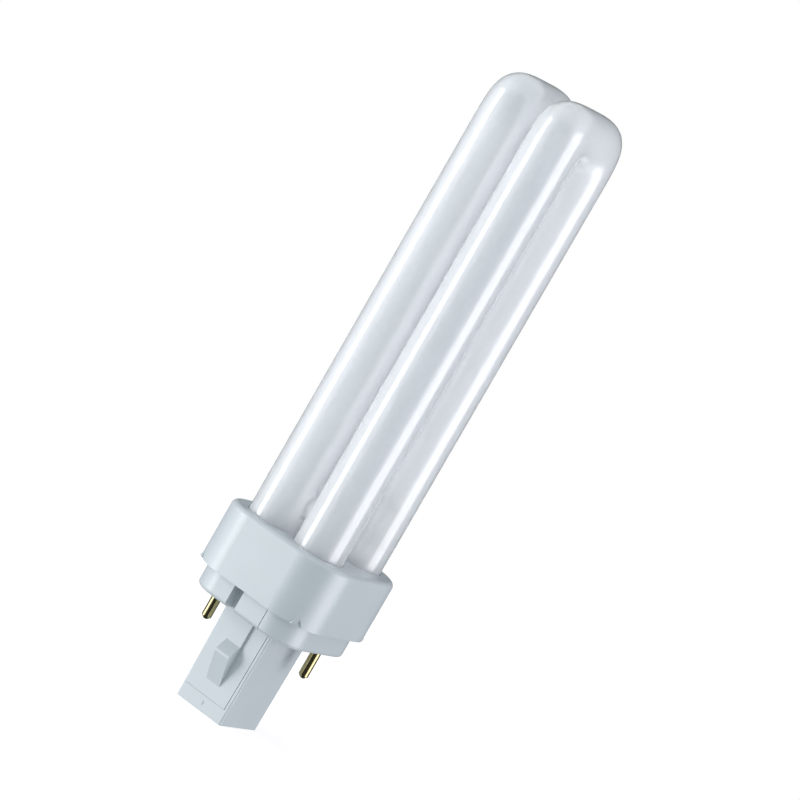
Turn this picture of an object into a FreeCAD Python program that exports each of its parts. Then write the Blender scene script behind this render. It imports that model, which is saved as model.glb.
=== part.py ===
import FreeCAD, Part
import math
import os

from FreeCAD import Placement, Rotation, Vector

# Compact fluorescent lamp: two U-bent glass tubes side by side, fused by a bridge, in a plug
# base with two contact pins and a rectangular centre post. Millimetres, +Z along the lamp.
# The origin is the centre of the post's end face. The two legs of one bent tube lie along Y,
# and the two bent tubes lie side by side along X.

UP = Vector(0, 0, 1)
ALONG_X = Vector(1, 0, 0)
ALONG_Y = Vector(0, 1, 0)

# Lamp
overall_length = 153.5

# Glass tubes
tube_diameter = 12.0
glass_wall = 1.0
tube_gap = 1.4              # between the two bent tubes
leg_gap = 4.5               # between the two legs of one bent tube
crown_ratio = 1.23          # shallow round over the top of a bend, to the tube's radius
knuckle_ratio = 0.48        # tight round between the crown and the side, to the tube's radius
bend_ratio = 0.85           # height of the cross tube's section, to the tube's diameter
bevel_ratio = 0.8           # bevels that stand for the rounds inside the bend, to the bore's radius
leg_taper = 2.5             # taper at the closed end of a leg
bridge_diameter = 5.8
bridge_bore = 3.6
bridge_lift = 6.8           # bridge axis above the collar
leg_depth = 10.0            # how far the legs reach into the collar
pinch_width = 9.0
pinch_thickness = 2.8
pinch_height = 4.0
tip_diameter = 3.2          # sealed exhaust tip
tip_length = 3.5

# Collar
collar_height = 14.5
collar_wall = 2.05
collar_top = 2.0
collar_edge_round = 1.2
tube_hole_clearance = 0.2
cement_depth = 4.0
collar_shoulder = 0.5       # step inside the skirt that bears on the cap's cup

# Staking marks on the collar's lower edge, one at each corner
stake_angle = 36.0          # from the -Y direction towards +X
stake_width = 0.9
stake_height = 1.2
stake_raise = 0.35
stake_root = 0.3            # how deep the mark is rooted in the collar's wall
stake_lean = 0.65           # sideways, from its foot to its top
stake_slope = 0.25          # inwards, from its foot to its top
stake_notch_turn = 12.0     # from the mark to the notch beside it
stake_notch_width = 1.6
stake_notch_height = 1.5
stake_notch_depth = 0.5

# Cap
cap_corner_radius = 7.4
cap_clearance = 0.15        # between the cap's cup and the collar
cap_edge_round = 0.9
cap_wall = 1.4
cap_floor = 1.6
flange_height = 5.5
cup_engagement = 5.5        # how far the cup reaches up inside the collar

# Key slots in the flange
key_width = 2.7
key_offset = 1.85           # from the lamp's axis, to the left seen from outside
key_depth = 3.0
key_headroom = 1.5

# Centre post
post_length = 23.5
post_width_root = 13.9
post_width_end = 13.1
post_depth_root = 15.3
post_depth_end = 15.2
post_corner_round = 0.4
cavity_corner_round = 0.1
post_side_wall = 0.9
post_face_wall = 1.3
foot_height = 3.4
foot_floor = 1.5
gate_width = 0.4            # moulding gate mark on the front of the foot
gate_height = 0.8
gate_raise = 0.12
gate_lift = 1.4

# Joint between the cap body and the cap lid
seam_gap = 0.15
foot_gap = 0.05
seam_step = 0.65            # the seam lies further out across the flange than down the post
tongue_reach = 1.6
tongue_thickness = 0.8
tongue_clearance = 0.05

# Latch teeth on the two broad faces of the post
latch_width = 4.0
latch_offset = 0.2          # from the lamp's axis, to the left seen from outside
latch_rib_height = 0.6
latch_rib_length = 6.9
latch_crest_height = 2.65
latch_catch_length = 2.5
latch_crest_land = 0.6
latch_ramp_length = 6.7

# Contact pins
pin_diameter = 2.3
pin_length = 7.1            # below the seating face
pin_tip_bevel = 0.65
pin_edge_distance = 3.25    # from the pins' axes to the flange's left and right edges
pin_spacing_y = 9.0
pin_root_diameter = 2.9     # thicker stretch through the flange's floor
pin_root_taper = 0.2
pin_head_diameter = 3.5
pin_head_height = 0.9
pin_hole_clearance = 0.05

# Cathodes and leads
lead_diameter = 0.6
lead_spacing = 5.0
coil_diameter = 1.1
coil_height = 15.0          # above the collar's top
bead_diameter = 2.0
bead_height = 6.5           # above the collar's top
pin_lead_drop = 1.6         # from the pinch down to the pin leads' level run
starter_lead_drop = 2.8     # from the pinch down to the starter leads' level run

# Glow starter and capacitor in the post
starter_diameter = 6.8
starter_length = 16.0
starter_wall = 0.6
starter_clearance = 0.4
starter_pinch = 2.0
starter_pinch_thickness = 1.6
starter_lead_spacing = 2.4
electrode_diameter = 0.5
bimetal_width = 2.0
bimetal_thickness = 0.3
bimetal_leg = 7.5
bimetal_gap = 1.5
capacitor_width = 8.0
capacitor_thickness = 2.8
capacitor_height = 9.0
capacitor_round = 0.8

# Levels and places that follow
seat_z = post_length
collar_z = seat_z + flange_height
collar_top_z = collar_z + collar_height
cup_top_z = collar_z + cup_engagement
tube_radius = tube_diameter / 2
bore_radius = tube_radius - glass_wall
crown_radius = crown_ratio * tube_radius
knuckle_radius = knuckle_ratio * tube_radius
bend_height = bend_ratio * tube_diameter
bore_bevel = bevel_ratio * bore_radius
tube_x = (tube_diameter + tube_gap) / 2
tube_y = (tube_diameter + leg_gap) / 2
leg_end_z = collar_top_z - leg_depth
pinch_end_z = leg_end_z - pinch_height
bridge_z = collar_top_z + bridge_lift
chamber_side = 2 * (tube_y + tube_radius + tube_hole_clearance)
collar_inner_side = chamber_side + 2 * collar_shoulder
cap_side = collar_inner_side - 2 * cap_clearance
pin_x = cap_side / 2 - pin_edge_distance
pin_y = pin_spacing_y / 2
pin_head_z = seat_z + cap_floor
seam_x = post_width_root / 2 - post_side_wall
post_taper = math.degrees(math.atan((post_width_root - post_width_end) / 2 / post_length))
collar_inner_radius = cap_corner_radius + cap_clearance
collar_side = collar_inner_side + 2 * collar_wall
collar_radius = collar_inner_radius + collar_wall
coil_z = collar_top_z + coil_height
bead_z = collar_top_z + bead_height
pin_run_z = pinch_end_z - pin_lead_drop
starter_run_z = pinch_end_z - starter_lead_drop
post_inner_depth = post_depth_end - 2 * post_face_wall
starter_y = -(post_inner_depth / 2 - starter_clearance - starter_diameter / 2)
capacitor_y = post_inner_depth / 2 - starter_clearance - capacitor_thickness / 2
starter_top_z = foot_floor + starter_length
capacitor_top_z = foot_floor + capacitor_height


def half_turn(shape):
    """The same shape on the opposite side of the lamp."""
    turned = shape.copy()
    turned.rotate(Vector(0, 0, 0), UP, 180)
    return turned


def outline(width, depth, radius, z):
    """Closed rectangular wire with round corners, centred on the axis at height z."""
    x, y = width / 2 - radius, depth / 2 - radius
    edges = []
    corners = ((x, -y, -90), (x, y, 0), (-x, y, 90), (-x, -y, 180))
    for index, (cx, cy, start) in enumerate(corners):
        circle = Part.Circle(Vector(cx, cy, z), UP, radius)
        arc = Part.Arc(circle, math.radians(start), math.radians(start + 90)).toShape()
        edges.append(arc)
        nx, ny, turn = corners[(index + 1) % 4]
        spoke = math.radians(turn)
        begin = arc.valueAt(arc.LastParameter)
        end = Vector(nx + radius * math.cos(spoke), ny + radius * math.sin(spoke), z)
        edges.append(Part.makeLine(begin, end))
    return Part.Wire(edges)


def rounded_block(width, depth, radius, low, high):
    """Upright block with round corners from one height to another."""
    face = Part.Face(outline(width, depth, radius, low))
    return face.extrude(Vector(0, 0, high - low))


def box_between(low, high):
    """Box between two corners."""
    size = high.sub(low)
    return Part.makeBox(size.x, size.y, size.z, low)


def level_edges(shape, z):
    """Edges that lie wholly at one height."""
    return [e for e in shape.Edges if abs(e.BoundBox.ZMin - z) + abs(e.BoundBox.ZMax - z) < 1e-4]


def upright_arc(centre, radius, start, end):
    """Arc in the XZ plane between two angles in radians, measured from +X towards +Z."""
    angles = (start, (start + end) / 2, end)
    points = [centre + Vector(math.cos(a), 0, math.sin(a)) * radius for a in angles]
    return Part.Arc(*points).toShape()


def wire_run(points, diameter):
    """Round wire along straight runs, with mitred corners."""
    path = Part.makePolygon(points)
    start = points[1].sub(points[0])
    ring = Part.Wire(Part.Circle(points[0], start, diameter / 2).toShape())
    return path.makePipeShell([ring], True, False, 1)


def leg(x, y):
    """Outside of one upright leg, domed over the bend and tapered to its press seal."""
    axis = Vector(x, y, 0)
    corners = [Vector(0, 0, overall_length), Vector(0, 0, leg_end_z),
               Vector(tube_radius - leg_taper, 0, leg_end_z),
               Vector(tube_radius, 0, leg_end_z + leg_taper),
               Vector(tube_radius, 0, overall_length - dome_height())]
    profile = Part.Face(Part.Wire(Part.makePolygon(corners).Edges + dome_arcs()))
    profile.translate(axis)
    return profile.revolve(axis, UP, 360)


def leg_bore(x, y):
    """Bore of one upright leg, closed by solid glass where the outside tapers."""
    low, high = leg_end_z + leg_taper, overall_length - glass_wall
    body = Part.makeCylinder(bore_radius, high - low, Vector(x, y, low))
    return body.makeChamfer(bore_bevel, level_edges(body, high))


def dome_height():
    """Height of the crown and knuckle above a tube's straight side."""
    rise = math.sqrt((crown_radius - knuckle_radius) ** 2 - (tube_radius - knuckle_radius) ** 2)
    return crown_radius - rise


def dome_arcs():
    """Knuckle and crown from a tube's side at +X up to the lamp's top at the tube's axis."""
    crown = Vector(0, 0, overall_length - crown_radius)
    knuckle = Vector(tube_radius - knuckle_radius, 0, overall_length - dome_height())
    joint = math.atan2(knuckle.z - crown.z, knuckle.x)
    return [upright_arc(knuckle, knuckle_radius, 0, joint),
            upright_arc(crown, crown_radius, joint, math.pi / 2)]


def cross_tube(x):
    """Tube over the two legs of a bend, with the round arch of the bend below it."""
    quarter = [Part.makeLine(Vector(tube_radius, 0, overall_length - bend_height / 2),
                             Vector(tube_radius, 0, overall_length - dome_height()))] + dome_arcs()
    half = quarter + [edge.mirror(Vector(0, 0, 0), ALONG_X) for edge in quarter]
    middle = Vector(0, 0, overall_length - bend_height / 2)
    whole = half + [edge.mirror(middle, UP) for edge in half]
    section = Part.Face(Part.Wire(Part.__sortEdges__(whole)))
    section.translate(Vector(x, -tube_y, 0))
    return section.extrude(Vector(0, 2 * tube_y, 0)).cut(arch(x, leg_gap / 2))


def cross_bore(x):
    """Bore of the cross tube, with bevels that stand for its rounds."""
    low, high = overall_length - bend_height + glass_wall, overall_length - glass_wall
    bar = box_between(Vector(x - bore_radius, -tube_y, low), Vector(x + bore_radius, tube_y, high))
    long_edges = [e for e in bar.Edges if abs(e.tangentAt(e.FirstParameter).y) > 0.99]
    return bar.makeChamfer(bore_bevel, long_edges).cut(arch(x, leg_gap / 2 + glass_wall))


def arch(x, radius):
    """Round underside of a bend, between its two legs."""
    start = Vector(x - tube_radius, 0, overall_length - bend_height)
    return Part.makeCylinder(radius, 2 * tube_radius, start, ALONG_X)


def bent_tube(x):
    """Solid U-bent tube."""
    return leg(x, -tube_y).fuse([leg(x, tube_y), cross_tube(x)])


def bent_bore(x):
    """Bore of a bent tube."""
    return leg_bore(x, -tube_y).fuse([leg_bore(x, tube_y), cross_bore(x)])


def bridge(diameter):
    """Short level tube that joins the two front legs."""
    return Part.makeCylinder(diameter / 2, 2 * tube_x, Vector(-tube_x, -tube_y, bridge_z), ALONG_X)


def pinch(x):
    """Press seal under a rear leg, where the leads come through."""
    top_z = leg_end_z + glass_wall
    seal = rounded_block(pinch_width, pinch_thickness, pinch_thickness / 3, pinch_end_z, top_z)
    seal.translate(Vector(x, tube_y, 0))
    return seal


def exhaust_tip():
    """Sealed stub of the exhaust tube under the left front leg."""
    low = leg_end_z + glass_wall - tip_length
    stem = Part.makeCylinder(tip_diameter / 2, tip_length, Vector(-tube_x, -tube_y, low))
    return stem.makeChamfer(tip_diameter / 4, level_edges(stem, low))


def discharge_tube(leads):
    """Sealed glass vessel: both bent tubes, the bridge, the press seals and the exhaust tip."""
    outside = bent_tube(-tube_x).fuse([bent_tube(tube_x), bridge(bridge_diameter), pinch(-tube_x),
                                       pinch(tube_x), exhaust_tip()])
    bore = bent_bore(-tube_x).fuse([bent_bore(tube_x), bridge(bridge_bore)])
    return outside.cut(bore).cut(leads).removeSplitter()


def pin_lead(side):
    """Wire from the outer end of a cathode down through the press seal to its pin."""
    outer = side * (tube_x + lead_spacing / 2)
    points = [Vector(outer, tube_y, coil_z), Vector(outer, tube_y, pin_run_z),
              Vector(side * pin_x, side * pin_y, pin_run_z),
              Vector(side * pin_x, side * pin_y, pin_head_z + pin_head_height)]
    return wire_run(points, lead_diameter)


def starter_lead(side):
    """Wire from the inner end of a cathode down through the press seal to the glow starter."""
    inner = side * (tube_x - lead_spacing / 2)
    starter_x = side * starter_lead_spacing / 2
    points = [Vector(inner, tube_y, coil_z), Vector(inner, tube_y, starter_run_z),
              Vector(starter_x, starter_y, starter_run_z), Vector(starter_x, starter_y, starter_top_z)]
    return wire_run(points, lead_diameter)


def cathode_coil(side):
    """Coil between the tops of a cathode's two leads, as its plain envelope."""
    span = lead_spacing - lead_diameter
    start = Vector(side * tube_x - span / 2, tube_y, coil_z - coil_diameter / 2)
    return Part.makeCylinder(coil_diameter / 2, span, start, ALONG_X)


def cathode_bead(side, leads):
    """Glass bead that ties a cathode's two leads together."""
    span = lead_spacing + bead_diameter
    start = Vector(side * tube_x - span / 2, tube_y, bead_z)
    return Part.makeCylinder(bead_diameter / 2, span, start, ALONG_X).cut(leads)


def stake(angle):
    """Raised wedge of one staking mark, pressed out of the collar's corner at its lower edge."""
    inner = -collar_radius + stake_root
    base = [Vector(-stake_width / 2, inner, 0), Vector(0, -collar_radius - stake_raise, 0),
            Vector(stake_width / 2, inner, 0)]
    foot = Part.Face(Part.makePolygon(base + base[:1]))
    return at_corner(foot.extrude(Vector(stake_lean, stake_slope, stake_height)), angle)


def stake_notch(angle):
    """Pointed notch beside a staking mark."""
    half, depth = stake_notch_width / 2, -collar_radius + stake_notch_depth
    base = [Vector(-half, depth, 0), Vector(half, depth, 0),
            Vector(-half / 2, depth, stake_notch_height)]
    face = Part.Face(Part.makePolygon(base + base[:1]))
    return at_corner(face.extrude(Vector(0, -2 * stake_notch_depth, 0)), angle + stake_notch_turn)


def at_corner(shape, angle):
    """The shape turned about the axis of the collar's front right corner, at its lower edge."""
    corner = collar_side / 2 - collar_radius
    shape.Placement = Placement(Vector(corner, -corner, collar_z), Rotation(UP, angle))
    return shape


def around_corners(shape):
    """The shape and its three copies at the other corners of the collar."""
    copies = []
    for quarter in range(4):
        turned = shape.copy()
        turned.rotate(Vector(0, 0, 0), UP, 90 * quarter)
        copies.append(turned)
    return copies


def tube_holes(radius, low, high):
    """Four upright cylinders on the legs' axes."""
    places = [(sx * tube_x, sy * tube_y) for sx in (-1, 1) for sy in (-1, 1)]
    return [Part.makeCylinder(radius, high - low, Vector(x, y, low)) for x, y in places]


def collar():
    """Upper housing: a skirt and a top plate that the four legs pass through."""
    outside = rounded_block(collar_side, collar_side, collar_radius, collar_z, collar_top_z)
    outside = outside.makeFillet(collar_edge_round, level_edges(outside, collar_top_z))
    outside = outside.fuse(around_corners(stake(stake_angle)))
    skirt = rounded_block(collar_inner_side, collar_inner_side, collar_inner_radius, collar_z - 1, cup_top_z)
    chamber = upper_chamber(cup_top_z - 1, collar_top_z - collar_top)
    holes = tube_holes(tube_radius + tube_hole_clearance, collar_z, collar_top_z + 1)
    return outside.cut([skirt, chamber] + holes + around_corners(stake_notch(stake_angle)))


def upper_chamber(low, high):
    """Inside of the collar above the shoulder, between two heights."""
    return rounded_block(chamber_side, chamber_side, collar_inner_radius - collar_shoulder, low, high)


def tube_cement():
    """Bonding compound under the collar's top plate, round the legs."""
    high = collar_top_z - collar_top
    fill = upper_chamber(high - cement_depth, high)
    return fill.cut(tube_holes(tube_radius, high - cement_depth - 1, high + 1))


def post_outline(inset_x, inset_y, radius, z):
    """Outline of the tapered post at a height, drawn in by a wall each way."""
    share = z / post_length
    width = post_width_end + share * (post_width_root - post_width_end) - 2 * inset_x
    depth = post_depth_end + share * (post_depth_root - post_depth_end) - 2 * inset_y
    return outline(width, depth, radius, z)


def post_block(inset_x, inset_y, radius, low, high):
    """Stretch of the tapered post, or of its cavity."""
    return Part.makeLoft([post_outline(inset_x, inset_y, radius, z) for z in (low, high)], True)


def key_slot(wall, low, high):
    """Key slot in the flange's front face, or with a wall the block that houses it."""
    face_y = -cap_side / 2
    return box_between(Vector(-key_offset - key_width / 2 - wall, face_y - 1, low),
                       Vector(-key_offset + key_width / 2 + wall, face_y + key_depth + wall, high))


def latch():
    """Latch tooth on the post's front face: rib, steep catch, crest and long lead-in ramp."""
    root = -post_depth_end / 2 + post_face_wall / 2
    face = -post_depth_root / 2
    steps = ((0, latch_rib_height), (latch_rib_length, latch_rib_height),
             (latch_rib_length + latch_catch_length, latch_crest_height),
             (latch_rib_length + latch_catch_length + latch_crest_land, latch_crest_height),
             (latch_rib_length + latch_catch_length + latch_crest_land + latch_ramp_length, 0))
    left = -latch_offset - latch_width / 2
    profile = [Vector(left, face - height, seat_z - drop) for drop, height in steps]
    profile += [Vector(left, root, profile[-1].z), Vector(left, root, seat_z)]
    return Part.Face(Part.makePolygon(profile + profile[:1])).extrude(Vector(latch_width, 0, 0))


def gate_mark():
    """Small raised mark of the moulding gate on the front of the foot."""
    face = -post_depth_end / 2
    return box_between(Vector(-gate_width / 2, face - gate_raise, gate_lift),
                       Vector(gate_width / 2, face + gate_raise, gate_lift + gate_height))


def cap_whole():
    """Flange, cup and post as one piece, before it is parted at the seam."""
    flange = rounded_block(cap_side, cap_side, cap_corner_radius, seat_z, cup_top_z)
    flange = flange.makeFillet(cap_edge_round, level_edges(flange, seat_z))
    post = post_block(0, 0, post_corner_round, 0, post_length)
    outside = flange.fuse([post, latch(), half_turn(latch()), gate_mark()])
    inner_side = cap_side - 2 * cap_wall
    floor_z, open_z = seat_z + cap_floor, cup_top_z + 1
    cup = rounded_block(inner_side, inner_side, cap_corner_radius - cap_wall, floor_z, open_z)
    slot_top = collar_z + key_headroom
    housing = key_slot(cap_wall, seat_z, slot_top + cap_wall)
    cup = cup.cut([housing, half_turn(housing)])
    cavity_top = seat_z + 2 * cap_floor
    cavity = post_block(post_side_wall, post_face_wall, cavity_corner_round, foot_floor, cavity_top)
    slot = key_slot(0, seat_z - 1, slot_top)
    cap = outside.cut([cup, cavity, slot, half_turn(slot)])
    return cap.cut([pin_hole(-1), pin_hole(1)])


def pin_hole(side):
    """Hole in the flange's floor for one pin."""
    radius = pin_root_diameter / 2 + pin_hole_clearance
    return Part.makeCylinder(radius, cap_floor + 2, Vector(side * pin_x, side * pin_y, seat_z - 1))


def beyond_seam(offset):
    """Everything past the seam: outside the post's right wall, and a step further out above it."""
    far = cap_side
    low = box_between(Vector(0, -far, -far), Vector(far, far, cap_floor))
    low.Placement = Placement(Vector(seam_x + offset, 0, seat_z), Rotation(ALONG_Y, post_taper))
    low = low.common(box_between(Vector(0, -far, -1), Vector(far, far, seat_z)))
    high = box_between(Vector(seam_x + seam_step + offset, -far, seat_z), Vector(far, far, cup_top_z + 1))
    return low, high


def tongues():
    """Two strips inside the post's broad walls that lap over the seam."""
    face_inset = post_face_wall + tongue_clearance
    band = post_block(post_side_wall / 2, face_inset, cavity_corner_round, foot_floor, seat_z)
    core = post_block(0, face_inset + tongue_thickness, cavity_corner_round, foot_floor, seat_z)
    reach = box_between(Vector(seam_x - tongue_reach, -cap_side, foot_floor),
                        Vector(cap_side, cap_side, seat_z))
    return band.cut(core).common(reach)


def cap_parts():
    """Cap body and cap lid, parted at the seam on one side and above the foot."""
    whole = cap_whole()
    far = cap_side
    foot = box_between(Vector(-far, -far, -1), Vector(far, far, foot_height))
    foot_and_joint = box_between(Vector(-far, -far, -1), Vector(far, far, foot_height + foot_gap))
    low, high = beyond_seam(0)
    lid = whole.common(low.fuse([high, foot])).fuse(tongues()).removeSplitter()
    low, high = beyond_seam(-seam_gap)
    return whole.cut([low, high, foot_and_joint]), lid


def contact_pin(side):
    """Round contact pin with a bevelled tip and a head that bears on the flange's floor."""
    tip_z, taper_z = seat_z - pin_length, seat_z - pin_root_taper
    shank = Part.makeCylinder(pin_diameter / 2, taper_z - tip_z, Vector(0, 0, tip_z))
    shank = shank.makeChamfer(pin_tip_bevel, level_edges(shank, tip_z))
    taper = Part.makeCone(pin_diameter / 2, pin_root_diameter / 2, pin_root_taper, Vector(0, 0, taper_z))
    root = Part.makeCylinder(pin_root_diameter / 2, cap_floor, Vector(0, 0, seat_z))
    head = Part.makeCylinder(pin_head_diameter / 2, pin_head_height, Vector(0, 0, pin_head_z))
    pin = shank.fuse([taper, root, head]).removeSplitter()
    pin.translate(Vector(side * pin_x, side * pin_y, 0))
    return pin


def starter_bottle(leads):
    """Sealed glass bottle of the glow starter, standing on the post's foot."""
    radius = starter_diameter / 2
    shoulder = starter_top_z - starter_pinch
    body = Part.makeCylinder(radius, shoulder - foot_floor, Vector(0, starter_y, foot_floor))
    body = body.makeChamfer(starter_wall, level_edges(body, foot_floor) + level_edges(body, shoulder))
    inner = Part.makeCylinder(radius - starter_wall, shoulder - foot_floor - 2 * starter_wall,
                              Vector(0, starter_y, foot_floor + starter_wall))
    seal = rounded_block(starter_lead_spacing + 2 * starter_pinch_thickness, starter_pinch_thickness,
                         starter_pinch_thickness / 3, shoulder - starter_wall, starter_top_z)
    seal.translate(Vector(0, starter_y, 0))
    return body.fuse(seal).cut(inner).cut(leads)


def starter_electrode():
    """Fixed electrode of the glow starter: a straight wire through the seal."""
    tip_z = starter_top_z - starter_pinch - bimetal_leg
    start = Vector(-starter_lead_spacing / 2, starter_y, tip_z)
    return Part.makeCylinder(electrode_diameter / 2, starter_top_z - tip_z, start)


def starter_bimetal():
    """Bent bimetal strip of the glow starter on its own lead."""
    shoulder = starter_top_z - starter_pinch
    lead_x = starter_lead_spacing / 2
    joint_z = shoulder - 2 * starter_wall
    start = Vector(lead_x, starter_y, joint_z)
    lead = Part.makeCylinder(electrode_diameter / 2, starter_top_z - joint_z, start)
    low = joint_z - bimetal_leg
    near = lead_x - bimetal_thickness / 2
    far = near - bimetal_gap
    front, back = starter_y - bimetal_width / 2, starter_y + bimetal_width / 2
    upright = box_between(Vector(near, front, low), Vector(near + bimetal_thickness, back, joint_z))
    sole = box_between(Vector(far, front, low - bimetal_thickness),
                       Vector(near + bimetal_thickness, back, low))
    blade = box_between(Vector(far, front, low),
                        Vector(far + bimetal_thickness, back, low + bimetal_leg / 2))
    return lead.fuse([upright, sole, blade]).removeSplitter()


def starter_run_x(y):
    """Where the starter leads' level run lies across the lamp at a given depth."""
    inner = tube_x - lead_spacing / 2
    near = starter_lead_spacing / 2
    share = (y - starter_y) / (tube_y - starter_y)
    return near + share * (inner - near)


def suppression_capacitor():
    """Small moulded capacitor beside the glow starter, standing on the post's foot."""
    body = rounded_block(capacitor_width, capacitor_thickness, capacitor_round, foot_floor, capacitor_top_z)
    body.translate(Vector(0, capacitor_y, 0))
    return body


def capacitor_lead(side):
    """Wire from the capacitor up to a starter lead."""
    x = side * starter_run_x(capacitor_y)
    height = starter_run_z - lead_diameter / 2 - capacitor_top_z
    return Part.makeCylinder(electrode_diameter / 2, height, Vector(x, capacitor_y, capacitor_top_z))


def build():
    """Every piece of the lamp by its node's name."""
    pin_leads = {"left": pin_lead(-1), "right": pin_lead(1)}
    starter_leads = {"left": starter_lead(-1), "right": starter_lead(1)}
    leads = list(pin_leads.values()) + list(starter_leads.values())
    cap_body, cap_lid = cap_parts()
    electrode, bimetal = starter_electrode(), starter_bimetal()
    parts = {
        "discharge_tube": discharge_tube(leads),
        "collar": collar(),
        "cap_body": cap_body,
        "cap_lid": cap_lid,
        "tube_cement": tube_cement(),
        "starter_bulb": starter_bottle([electrode, bimetal]),
        "starter_electrode": electrode,
        "starter_bimetal": bimetal,
        "suppression_capacitor": suppression_capacitor(),
    }
    for name, side in (("left", -1), ("right", 1)):
        parts[name + "_contact_pin"] = contact_pin(side)
        parts[name + "_cathode_coil"] = cathode_coil(side)
        parts[name + "_cathode_bead"] = cathode_bead(side, leads)
        parts[name + "_pin_lead"] = pin_leads[name]
        parts[name + "_starter_lead"] = starter_leads[name]
        parts[name + "_capacitor_lead"] = capacitor_lead(side)
    return parts


os.makedirs("parts", exist_ok=True)
for node, shape in build().items():
    shape.exportStep("parts/" + node + ".step")
    print(node, len(shape.Solids), "solid", round(shape.Volume, 2), "mm3", shape.isValid())
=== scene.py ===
import math

import bmesh
import bpy
from mathutils import Matrix, Quaternion, Vector


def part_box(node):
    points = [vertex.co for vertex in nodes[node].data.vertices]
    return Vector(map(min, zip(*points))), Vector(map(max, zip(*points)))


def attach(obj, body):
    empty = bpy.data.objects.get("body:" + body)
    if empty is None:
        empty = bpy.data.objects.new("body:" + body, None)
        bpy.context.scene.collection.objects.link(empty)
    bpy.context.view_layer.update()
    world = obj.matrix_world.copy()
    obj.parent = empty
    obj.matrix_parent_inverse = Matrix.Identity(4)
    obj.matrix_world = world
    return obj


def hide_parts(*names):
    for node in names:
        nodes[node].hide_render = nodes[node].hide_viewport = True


# Compact fluorescent lamp with two U-bent tubes in a white plug base. Metres, +Z along the lamp,
# origin at the centre of the post's end face. Azimuths are measured from -Y towards +X.

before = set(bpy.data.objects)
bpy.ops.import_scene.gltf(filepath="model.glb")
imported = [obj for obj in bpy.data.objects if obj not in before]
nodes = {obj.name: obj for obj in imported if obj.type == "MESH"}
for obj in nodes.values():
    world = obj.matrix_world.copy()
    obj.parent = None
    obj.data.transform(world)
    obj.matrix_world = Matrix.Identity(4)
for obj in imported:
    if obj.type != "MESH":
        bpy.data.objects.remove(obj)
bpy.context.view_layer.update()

MM = 0.001

# Glass vessel, as its node has it but with the moulded rounds of the real bends
TUBE_RADIUS = 6.0 * MM
LEG_GAP = 4.5 * MM
BEND_RISE = 14.3 * MM       # from the middle of the inside round to the top
BEND_CORNER = 4.2           # squareness of the bend's outside, 2 for an ellipse
LEG_TAPER = 2.5 * MM
PINCH_HEIGHT = 4.0 * MM
PINCH_SIZE = (9.0 * MM, 2.8 * MM)
PINCH_OVERLAP = 2 * MM      # how far the press seal reaches up into its leg
TIP_RADIUS = 1.6 * MM
TIP_LENGTH = 3.5 * MM
BRIDGE_DEPTH = 1.3 * MM     # half sizes of the bridge's section
BRIDGE_HEIGHT = 2.6 * MM
BRIDGE_LIFT = 6.8 * MM      # bridge axis above the collar
BEND_STEPS = 32             # rings from one leg to the other
RING_SIDES = 48
STUB_SIDES = 32
VOXEL = 0.5 * MM            # grain of the one surface that the glass is fused into
SMOOTH_PASSES = 12

# Where the legs stand and end, from the solid vessel's box
tube_low, tube_high = (Vector(corner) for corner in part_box("discharge_tube"))
vessel_top, leg_reach = tube_high.z, tube_high.y
leg_x, leg_y = tube_high.x - TUBE_RADIUS, tube_high.y - TUBE_RADIUS
leg_end_z = tube_low.z + PINCH_HEIGHT

# Studio: lights and cards face the middle of the lamp
WHITE = (1, 1, 1, 1)
LAMP_MIDDLE = Vector((0, 0, 0.08))
LIGHT_DISTANCE = 0.9
LIGHT_HEIGHT = 0.80
CARD_DISTANCE = 1.1
CARD_COLOR = (0.05, 0.055, 0.06, 1)
SURROUND_COLOR = (0.86, 0.97, 1.0, 1)
SURROUND_STRENGTH = 0.62
FLOOR_HALF = 3.0
FLOOR_COLOR = (0.86, 0.86, 0.87, 1)
FLOOR_LIFT_COLOR = (1.0, 0.90, 0.88, 1)
FLOOR_LIFT = 0.50
SHADE_NEAR, SHADE_FAR = 0.10, 0.32      # the floor fades to plain white between these

CAMERA_PLACE = (0.35568, -0.64180, 0.16851)
CAMERA_AZIMUTH, CAMERA_ELEVATION, CAMERA_ROLL = 28.939, 6.941, 29.986
SENSOR_WIDTH, LENS = 36.0, 155.26


def direction(azimuth, elevation):
    """Unit vector from the lamp towards a light or the camera."""
    a, e = math.radians(azimuth), math.radians(elevation)
    return Vector((math.sin(a) * math.cos(e), -math.cos(a) * math.cos(e), math.sin(e)))


def new_material(name):
    """Empty node material with its output, and its node tree."""
    material = bpy.data.materials.new(name)
    material.use_nodes = True
    material.node_tree.nodes.clear()
    return material, material.node_tree


def add(tree, kind, **values):
    """Shader node with the given input values, by socket name with spaces as underscores."""
    node = tree.nodes.new(kind)
    for key, value in values.items():
        node.inputs[key.replace("_", " ")].default_value = value
    return node


def link(tree, source, target):
    tree.links.new(source, target)


def surface(tree, **values):
    """Principled shader joined to the material's output."""
    shader = add(tree, "ShaderNodeBsdfPrincipled", **values)
    out = tree.nodes.new("ShaderNodeOutputMaterial")
    link(tree, shader.outputs["BSDF"], out.inputs["Surface"])
    return shader


def pattern(tree, scale, detail, stretch=(1, 1, 1)):
    """Noise over the piece's own coordinates, stretched where the finish has a direction."""
    place = tree.nodes.new("ShaderNodeTexCoord")
    mapping = add(tree, "ShaderNodeMapping", Scale=stretch)
    noise = add(tree, "ShaderNodeTexNoise", Scale=scale, Detail=detail)
    link(tree, place.outputs["Object"], mapping.inputs["Vector"])
    link(tree, mapping.outputs["Vector"], noise.inputs["Vector"])
    return noise.outputs["Fac"]


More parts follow.
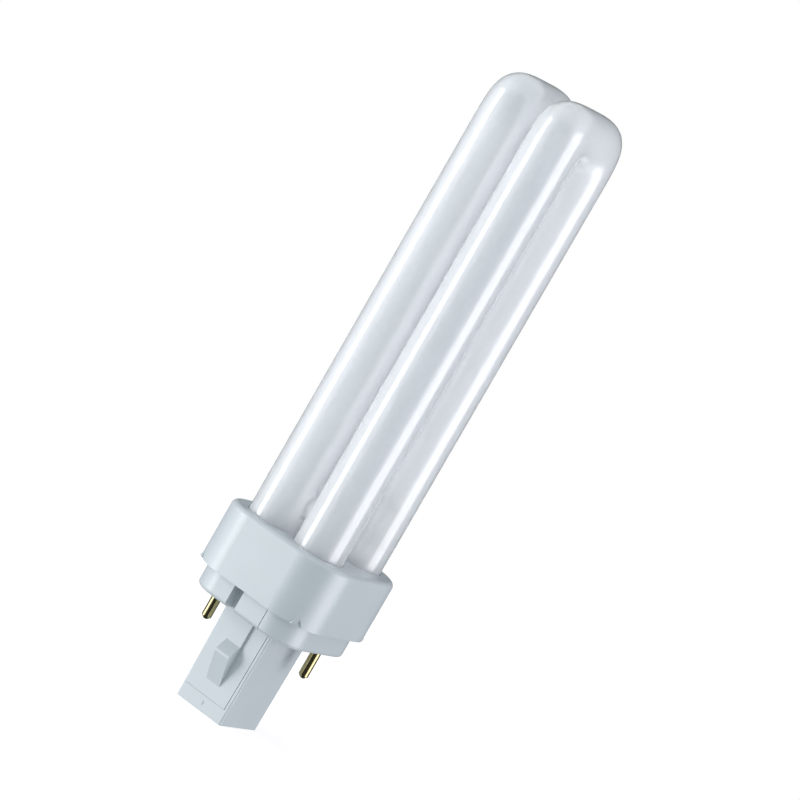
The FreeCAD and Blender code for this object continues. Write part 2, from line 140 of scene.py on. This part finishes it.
def spread(tree, value, low, high):
    """The pattern's value brought into a range, such as a roughness."""
    ramp = add(tree, "ShaderNodeMapRange", To_Min=low, To_Max=high)
    link(tree, value, ramp.inputs["Value"])
    return ramp.outputs["Result"]


def tint(tree, value, low, high):
    """The pattern's value turned into a colour between two."""
    ramp = tree.nodes.new("ShaderNodeValToRGB")
    ramp.color_ramp.elements[0].position = 0.3
    ramp.color_ramp.elements[1].position = 0.7
    ramp.color_ramp.elements[0].color = (*low, 1)
    ramp.color_ramp.elements[1].color = (*high, 1)
    link(tree, value, ramp.inputs["Fac"])
    return ramp.outputs["Color"]


def relief(tree, value, shader, depth, strength):
    """Fine unevenness of the surface from a pattern, depth in metres."""
    bump = add(tree, "ShaderNodeBump", Distance=depth, Strength=strength)
    link(tree, value, bump.inputs["Height"])
    link(tree, bump.outputs["Normal"], shader.inputs["Normal"])


def coated_glass():
    """Drawn glass tube over a white phosphor coating."""
    material, tree = new_material("phosphor_coated_glass")
    shader = surface(tree, IOR=1.45, Coat_Weight=1.0, Coat_Roughness=0.12, Coat_IOR=1.8,
                     Transmission_Weight=0.45)
    draw = pattern(tree, 90, 3, (1, 1, 0.06))
    powder = pattern(tree, 900, 4)
    white = tint(tree, powder, (0.92, 0.935, 0.96), (0.95, 0.96, 0.985))
    link(tree, white, shader.inputs["Base Color"])
    link(tree, spread(tree, draw, 0.62, 0.76), shader.inputs["Roughness"])
    relief(tree, draw, shader, 0.02 * MM, 0.15)
    return material


def base_plastic():
    """White moulded plastic of the collar and cap."""
    material, tree = new_material("moulded_white_plastic")
    shader = surface(tree, IOR=1.5, Specular_IOR_Level=0.9)
    grain = pattern(tree, 1400, 5)
    cloud = pattern(tree, 60, 2)
    white = tint(tree, cloud, (0.55, 0.585, 0.615), (0.58, 0.615, 0.645))
    link(tree, white, shader.inputs["Base Color"])
    link(tree, spread(tree, grain, 0.28, 0.40), shader.inputs["Roughness"])
    relief(tree, grain, shader, 0.02 * MM, 0.3)
    return material


def pin_brass():
    """Turned brass of the contact pins."""
    material, tree = new_material("turned_brass")
    shader = surface(tree, Metallic=1.0)
    turning = pattern(tree, 500, 3, (1, 1, 8))
    link(tree, tint(tree, turning, (0.38, 0.33, 0.16), (0.50, 0.44, 0.24)), shader.inputs["Base Color"])
    link(tree, spread(tree, turning, 0.10, 0.22), shader.inputs["Roughness"])
    relief(tree, turning, shader, 0.01 * MM, 0.2)
    return material


def drawn_wire(name, low, high, roughness):
    """Drawn metal wire of the leads and cathodes."""
    material, tree = new_material(name)
    shader = surface(tree, Metallic=1.0)
    lines = pattern(tree, 1500, 3, (1, 1, 0.1))
    link(tree, tint(tree, lines, low, high), shader.inputs["Base Color"])
    link(tree, spread(tree, lines, roughness, roughness + 0.15), shader.inputs["Roughness"])
    return material


def clear_glass():
    """Clear glass of the starter bottle and the cathode beads."""
    material, tree = new_material("clear_glass")
    shader = surface(tree, Transmission_Weight=1.0, IOR=1.5)
    waves = pattern(tree, 300, 2)
    link(tree, tint(tree, waves, (0.90, 0.95, 0.93), (0.95, 0.98, 0.96)), shader.inputs["Base Color"])
    link(tree, spread(tree, waves, 0.0, 0.04), shader.inputs["Roughness"])
    relief(tree, waves, shader, 0.03 * MM, 0.2)
    return material


def cement():
    """Gritty compound that bonds the tubes into the collar."""
    material, tree = new_material("tube_cement")
    shader = surface(tree, IOR=1.45)
    grit = pattern(tree, 1200, 6)
    link(tree, tint(tree, grit, (0.62, 0.59, 0.52), (0.78, 0.75, 0.68)), shader.inputs["Base Color"])
    link(tree, spread(tree, grit, 0.75, 0.95), shader.inputs["Roughness"])
    relief(tree, grit, shader, 0.1 * MM, 0.6)
    return material


def capacitor_case():
    """Dipped case of the suppression capacitor."""
    material, tree = new_material("dipped_capacitor_case")
    shader = surface(tree, IOR=1.5, Coat_Weight=0.5, Coat_Roughness=0.1)
    dip = pattern(tree, 250, 3)
    link(tree, tint(tree, dip, (0.42, 0.17, 0.04), (0.55, 0.25, 0.07)), shader.inputs["Base Color"])
    link(tree, spread(tree, dip, 0.3, 0.5), shader.inputs["Roughness"])
    relief(tree, dip, shader, 0.05 * MM, 0.3)
    return material


def bend_section(x, turn):
    """Matrix that sets a flat unit ring on a bent tube, at a turn round the inside of the bend."""
    side, rise = abs(math.cos(turn)), abs(math.sin(turn))
    reach = (side / leg_reach) ** BEND_CORNER + (rise / BEND_RISE) ** BEND_CORNER
    outer, inner = reach ** (-1 / BEND_CORNER), LEG_GAP / 2
    middle = (outer + inner) / 2
    place = Vector((x, -math.cos(turn) * middle, vessel_top - BEND_RISE + math.sin(turn) * middle))
    return ring_matrix(place, -turn, TUBE_RADIUS, (outer - inner) / 2)


def ring_matrix(place, tilt, across, along):
    """Matrix that tilts a flat unit ring about X and stretches it to two half widths."""
    return (Matrix.Translation(place) @ Matrix.Rotation(tilt, 4, "X")
            @ Matrix.Diagonal((across, along, 1, 1)))


def leg_sections(x, y, tilt):
    """Rings at the closed end of a leg, from its end up."""
    rings = []
    for radius, rise in ((TUBE_RADIUS - LEG_TAPER, 0), (TUBE_RADIUS, LEG_TAPER)):
        rings.append(ring_matrix(Vector((x, y, leg_end_z + rise)), tilt, radius, radius))
    return rings


def bent_tube(form, x):
    """Closed tube from one leg's end over the bend to the other's, drawn out ring by ring."""
    bend = [bend_section(x, math.pi * step / BEND_STEPS) for step in range(BEND_STEPS + 1)]
    far_leg = leg_sections(x, leg_y, -math.pi)
    rings = leg_sections(x, -leg_y, 0) + bend + far_leg[::-1]
    start = bmesh.ops.create_circle(form, segments=RING_SIDES, radius=1, cap_ends=True, matrix=rings[0])
    edges = list({edge for vert in start["verts"] for edge in vert.link_edges})
    for before, after in zip(rings, rings[1:]):
        drawn = bmesh.ops.extrude_edge_only(form, edges=edges)["geom"]
        edges = [item for item in drawn if isinstance(item, bmesh.types.BMEdge)]
        verts = [item for item in drawn if isinstance(item, bmesh.types.BMVert)]
        bmesh.ops.transform(form, matrix=after @ before.inverted(), verts=verts)
    bmesh.ops.contextual_create(form, geom=edges)


def stub(form, place, turn, half_width, half_depth, length):
    """Closed stub centred on a place, such as the bridge or the exhaust tip."""
    bmesh.ops.create_cone(form, cap_ends=True, segments=STUB_SIDES, radius1=1, radius2=1, depth=length,
                          matrix=Matrix.Translation(place) @ Matrix.Rotation(turn, 4, "Y")
                          @ Matrix.Diagonal((half_width, half_depth, 1, 1)))


def press_seal(form, x):
    """Flat pressed end under a rear leg, where the leads come through."""
    height = PINCH_HEIGHT + PINCH_OVERLAP
    place = Vector((x, leg_y, leg_end_z - PINCH_HEIGHT + height / 2))
    bmesh.ops.create_cube(form, size=1,
                          matrix=Matrix.Translation(place) @ Matrix.Diagonal((*PINCH_SIZE, height, 1)))


def glass_vessel():
    """Sealed glass vessel as one blown surface: both bent tubes, their bridge, press seals and tip."""
    mesh = bpy.data.meshes.new("glass_vessel")
    form = bmesh.new()
    for x in (-leg_x, leg_x):
        bent_tube(form, x)
        press_seal(form, x)
    bridge_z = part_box("collar")[1][2] + BRIDGE_LIFT
    stub(form, Vector((0, -leg_y, bridge_z)), math.pi / 2, BRIDGE_HEIGHT, BRIDGE_DEPTH, 2 * leg_x)
    stub(form, Vector((-leg_x, -leg_y, leg_end_z)), 0, TIP_RADIUS, TIP_RADIUS, 2 * TIP_LENGTH)
    bmesh.ops.recalc_face_normals(form, faces=form.faces)
    form.to_mesh(mesh)
    form.free()
    vessel = bpy.data.objects.new("glass_vessel", mesh)
    bpy.context.collection.objects.link(vessel)
    remesh = vessel.modifiers.new("fused_glass", "REMESH")
    remesh.mode, remesh.voxel_size, remesh.use_smooth_shade = "VOXEL", VOXEL, True
    smooth = vessel.modifiers.new("drawn_smooth", "SMOOTH")
    smooth.factor, smooth.iterations = 0.5, SMOOTH_PASSES
    mesh.materials.append(coated_glass())
    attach(vessel, "root")
    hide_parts("discharge_tube")


def dress(material, *names):
    """The material on each named CAD node."""
    for name in names:
        slots = nodes[name].data.materials
        slots.clear()
        slots.append(material)


def sides(name):
    return "left_" + name, "right_" + name


def white_surround():
    """World that lights the lamp softly and shows white behind it."""
    world = bpy.data.worlds.new("white_surround")
    bpy.context.scene.world = world
    world.use_nodes = True
    tree = world.node_tree
    tree.nodes.clear()
    soft = add(tree, "ShaderNodeBackground", Color=SURROUND_COLOR, Strength=SURROUND_STRENGTH)
    plain = add(tree, "ShaderNodeBackground", Color=WHITE, Strength=1.0)
    mix = tree.nodes.new("ShaderNodeMixShader")
    out = tree.nodes.new("ShaderNodeOutputWorld")
    link(tree, seen_rays(tree), mix.inputs["Fac"])
    link(tree, soft.outputs["Background"], mix.inputs[1])
    link(tree, plain.outputs["Background"], mix.inputs[2])
    link(tree, mix.outputs["Shader"], out.inputs["Surface"])


def seen_rays(tree):
    """1 for camera, glossy and transmission rays, which see the plain white."""
    path = tree.nodes.new("ShaderNodeLightPath")
    glossy = tree.nodes.new("ShaderNodeMath")
    glossy.operation = "MAXIMUM"
    either = tree.nodes.new("ShaderNodeMath")
    either.operation = "MAXIMUM"
    link(tree, path.outputs["Is Camera Ray"], glossy.inputs[0])
    link(tree, path.outputs["Is Glossy Ray"], glossy.inputs[1])
    link(tree, glossy.outputs["Value"], either.inputs[0])
    link(tree, path.outputs["Is Transmission Ray"], either.inputs[1])
    return either.outputs["Value"]


def pale_floor():
    """Plain floor under the post that reads white and keeps the lamp's soft shadow."""
    mesh = bpy.data.meshes.new("floor")
    form = bmesh.new()
    bmesh.ops.create_grid(form, x_segments=1, y_segments=1, size=FLOOR_HALF)
    form.to_mesh(mesh)
    form.free()
    floor = bpy.data.objects.new("floor", mesh)
    bpy.context.collection.objects.link(floor)
    mesh.materials.append(white_sweep())
    floor.visible_shadow = floor.visible_glossy = floor.visible_diffuse = False


def white_sweep():
    """Paper that takes the lamp's shadow near the post and is plain white further out."""
    material, tree = new_material("white_sweep")
    paper = add(tree, "ShaderNodeBsdfDiffuse", Color=FLOOR_COLOR, Roughness=0.5)
    lift = add(tree, "ShaderNodeEmission", Color=FLOOR_LIFT_COLOR, Strength=FLOOR_LIFT)
    near = tree.nodes.new("ShaderNodeAddShader")
    link(tree, paper.outputs["BSDF"], near.inputs[0])
    link(tree, lift.outputs["Emission"], near.inputs[1])
    plain = add(tree, "ShaderNodeEmission", Color=WHITE, Strength=1.0)
    place = tree.nodes.new("ShaderNodeTexCoord")
    reach = tree.nodes.new("ShaderNodeVectorMath")
    reach.operation = "LENGTH"
    link(tree, place.outputs["Object"], reach.inputs[0])
    fade = add(tree, "ShaderNodeMapRange", From_Min=SHADE_NEAR, From_Max=SHADE_FAR)
    link(tree, reach.outputs["Value"], fade.inputs["Value"])
    white = tree.nodes.new("ShaderNodeMixShader")
    link(tree, fade.outputs["Result"], white.inputs["Fac"])
    link(tree, near.outputs["Shader"], white.inputs[1])
    link(tree, plain.outputs["Emission"], white.inputs[2])
    mix = tree.nodes.new("ShaderNodeMixShader")
    out = tree.nodes.new("ShaderNodeOutputMaterial")
    link(tree, seen_rays(tree), mix.inputs["Fac"])
    link(tree, paper.outputs["BSDF"], mix.inputs[1])
    link(tree, white.outputs["Shader"], mix.inputs[2])
    link(tree, mix.outputs["Shader"], out.inputs["Surface"])
    return material


def soft_box(name, azimuth, width, power, color=(1, 1, 1)):
    """Tall rectangular soft light, level with the middle of the lamp."""
    light = bpy.data.lights.new(name, "AREA")
    light.shape, light.size, light.size_y = "RECTANGLE", width, LIGHT_HEIGHT
    light.energy, light.color = power, color
    box = bpy.data.objects.new(name, light)
    face_lamp(box, azimuth, 0, LIGHT_DISTANCE)
    return box


def face_lamp(thing, azimuth, elevation, distance):
    """A light or card set at a distance from the middle of the lamp and turned towards it."""
    away = direction(azimuth, elevation)
    thing.location = LAMP_MIDDLE + away * distance
    thing.rotation_mode = "QUATERNION"
    thing.rotation_quaternion = away.to_track_quat("Z", "Y")
    bpy.context.collection.objects.link(thing)


def dark_card(name, azimuth, elevation, width, height):
    """Dark card out of view that only shows as a reflection in the glass, plastic and brass."""
    mesh = bpy.data.meshes.new(name)
    form = bmesh.new()
    bmesh.ops.create_grid(form, x_segments=1, y_segments=1, size=0.5)
    bmesh.ops.scale(form, verts=form.verts, vec=(width, height, 1))
    form.to_mesh(mesh)
    form.free()
    material, tree = new_material(name)
    felt = add(tree, "ShaderNodeEmission", Color=CARD_COLOR, Strength=1.0)
    out = tree.nodes.new("ShaderNodeOutputMaterial")
    link(tree, felt.outputs["Emission"], out.inputs["Surface"])
    mesh.materials.append(material)
    card = bpy.data.objects.new(name, mesh)
    face_lamp(card, azimuth, elevation, CARD_DISTANCE)
    card.visible_camera = card.visible_diffuse = card.visible_transmission = False
    card.visible_shadow = False


def camera():
    """Camera to the right of the front face, a little above, rolled so that the lamp leans right."""
    data = bpy.data.cameras.new("camera")
    data.sensor_width, data.lens = SENSOR_WIDTH, LENS
    data.clip_start, data.clip_end = 0.01, 20.0
    view = bpy.data.objects.new("camera", data)
    view.location = CAMERA_PLACE
    forward = -direction(CAMERA_AZIMUTH, CAMERA_ELEVATION)
    roll = Quaternion((0, 0, 1), math.radians(CAMERA_ROLL))
    view.rotation_mode = "QUATERNION"
    view.rotation_quaternion = forward.to_track_quat("-Z", "Y") @ roll
    bpy.context.collection.objects.link(view)
    bpy.context.scene.camera = view


glass_vessel()
dress(base_plastic(), "collar", "cap_body", "cap_lid")
dress(pin_brass(), *sides("contact_pin"))
dress(drawn_wire("lead_wire", (0.42, 0.41, 0.39), (0.56, 0.55, 0.53), 0.25),
      *sides("pin_lead"), *sides("starter_lead"), *sides("capacitor_lead"),
      "starter_electrode", "starter_bimetal")
dress(drawn_wire("coated_cathode_wire", (0.62, 0.61, 0.58), (0.78, 0.77, 0.74), 0.4),
      *sides("cathode_coil"))
dress(clear_glass(), "starter_bulb", *sides("cathode_bead"))
dress(cement(), "tube_cement")
dress(capacitor_case(), "suppression_capacitor")

white_surround()
pale_floor()
soft_box("left_soft_box", azimuth=-44, width=0.32, power=4.0)
soft_box("side_soft_box", azimuth=-70, width=0.50, power=2.3).visible_glossy = False
soft_box("right_soft_box", azimuth=103, width=0.60, power=3.9, color=(1.0, 0.96, 1.0))
soft_box("back_soft_box", azimuth=205, width=0.60, power=1.1).visible_glossy = False
dark_card("front_card", azimuth=30, elevation=0, width=2.0, height=1.8)
dark_card("back_card", azimuth=180, elevation=0, width=2.6, height=1.8)
dark_card("side_card", azimuth=-108, elevation=0, width=1.2, height=1.8)
dark_card("low_card", azimuth=30, elevation=-89, width=1.6, height=1.6)
camera()
bpy.context.scene.view_settings.view_transform = "Standard"
